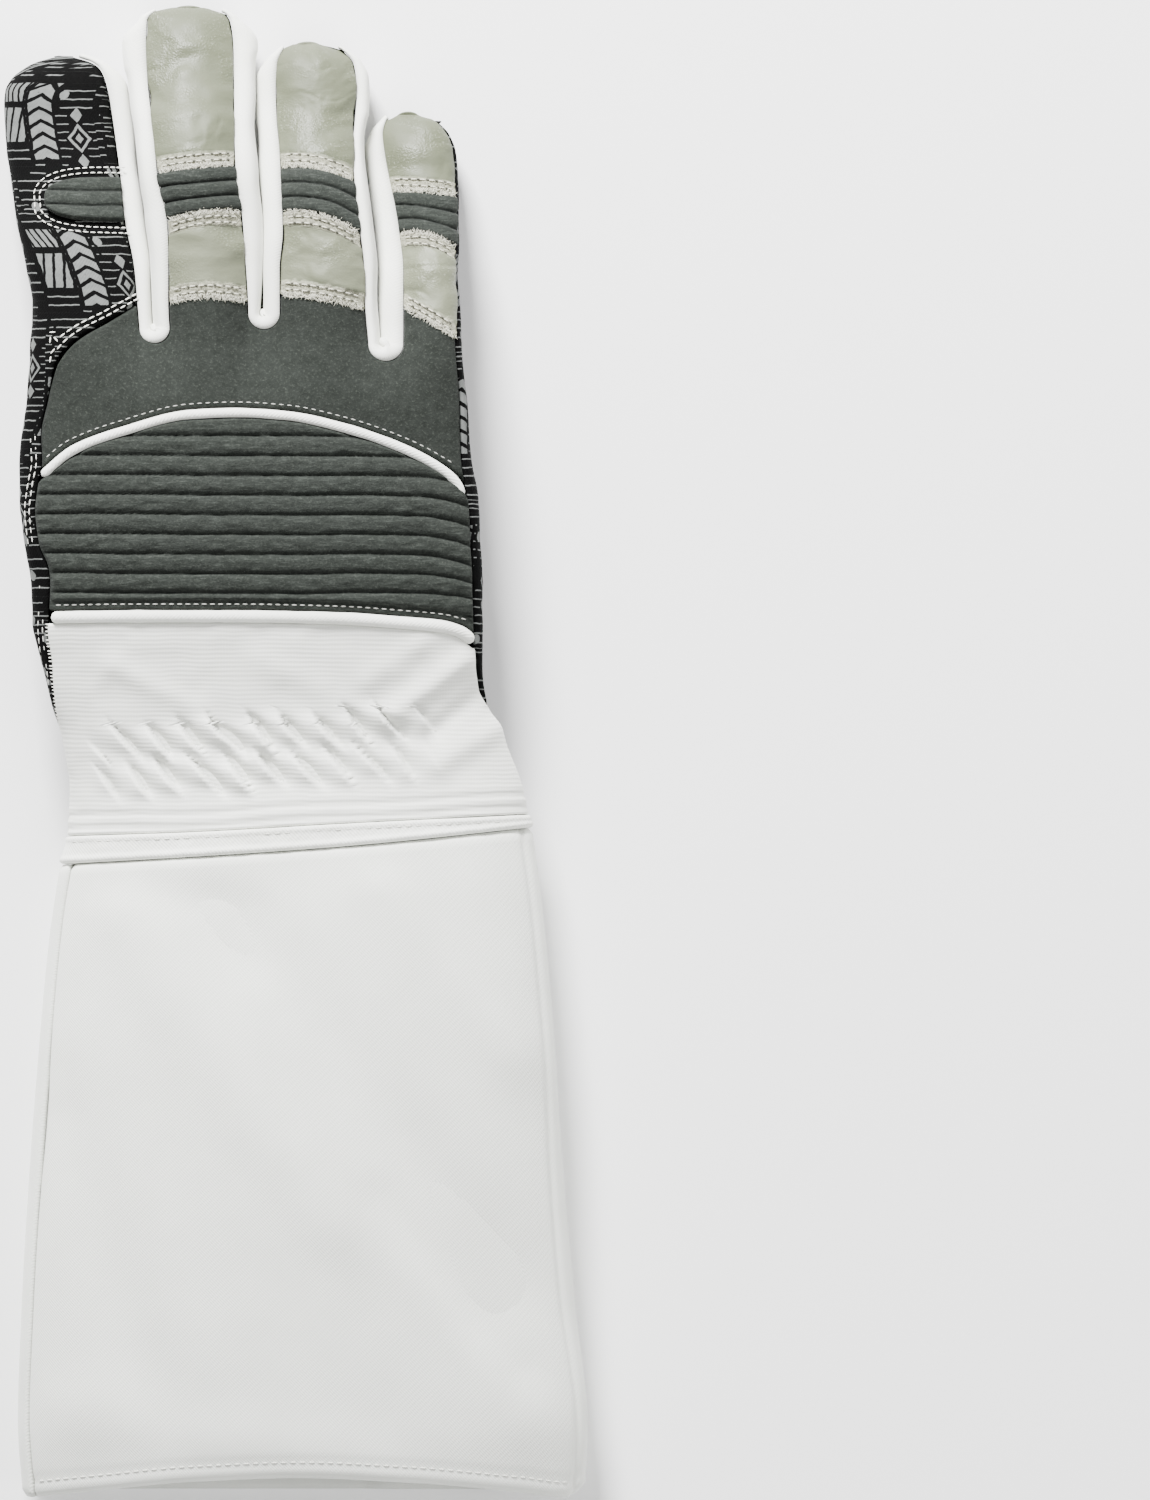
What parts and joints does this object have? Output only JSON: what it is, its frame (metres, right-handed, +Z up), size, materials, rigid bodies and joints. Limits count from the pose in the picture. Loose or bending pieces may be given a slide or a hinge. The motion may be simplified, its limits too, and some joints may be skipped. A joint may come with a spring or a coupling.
{
  "type": "fencing glove",
  "caption": "Right-hand sabre-style fencing glove lying back up, with leather fingertips, quilted knuckle ribs, white elastic wrist and a long padded cuff with a wrap-over flap.",
  "frame": {"origin": "middle of the bounding box at table height", "axes": "+Y to the fingertips, +Z up out of the back of the hand, +X to the little finger side"},
  "size_m": [0.15, 0.3856, 0.0415],
  "materials": {
    "printed_cloth": "matt black cloth with a grey silicone grip print",
    "leather": "pale grey-green leather with soft wrinkles",
    "neoprene": "mottled dark grey foam-backed cloth",
    "ribbed_cloth": "quilted dark grey cloth",
    "white_knit": "white stretch knit",
    "white_binding": "white rolled binding",
    "cuff_cloth": "off-white padded cloth",
    "loop_pile": "grey loop pile",
    "hook_tape": "grey hook tape"
  },
  "bodies": {
    "root": {"palm_cloth": "printed_cloth", "index_cloth": "printed_cloth", "thumb_cloth": "printed_cloth", "thumb_tip_leather": "leather", "thumb_back": "neoprene", "fourchette_index_middle": "white_knit", "fourchette_middle_ring": "white_knit", "fourchette_ring_little": "white_knit", "index_rib_patch": "ribbed_cloth", "knuckle_panel": "neoprene", "knuckle_piping": "white_binding", "wrist_binding": "white_binding", "rib_panel": "ribbed_cloth", "wrist_panel": "white_knit", "wrist_seam_band": "white_binding", "cuff_back": "cuff_cloth", "cuff_palm": "cuff_cloth", "loop_strip": "loop_pile", "hook_strip": "hook_tape", "middle_tip_leather": "leather", "middle_rib_band": "ribbed_cloth", "middle_leather_band": "leather", "ring_tip_leather": "leather", "ring_rib_band": "ribbed_cloth", "ring_leather_band": "leather", "little_tip_leather": "leather", "little_rib_band": "ribbed_cloth", "little_leather_band": "leather"}
  },
  "joints": []
}
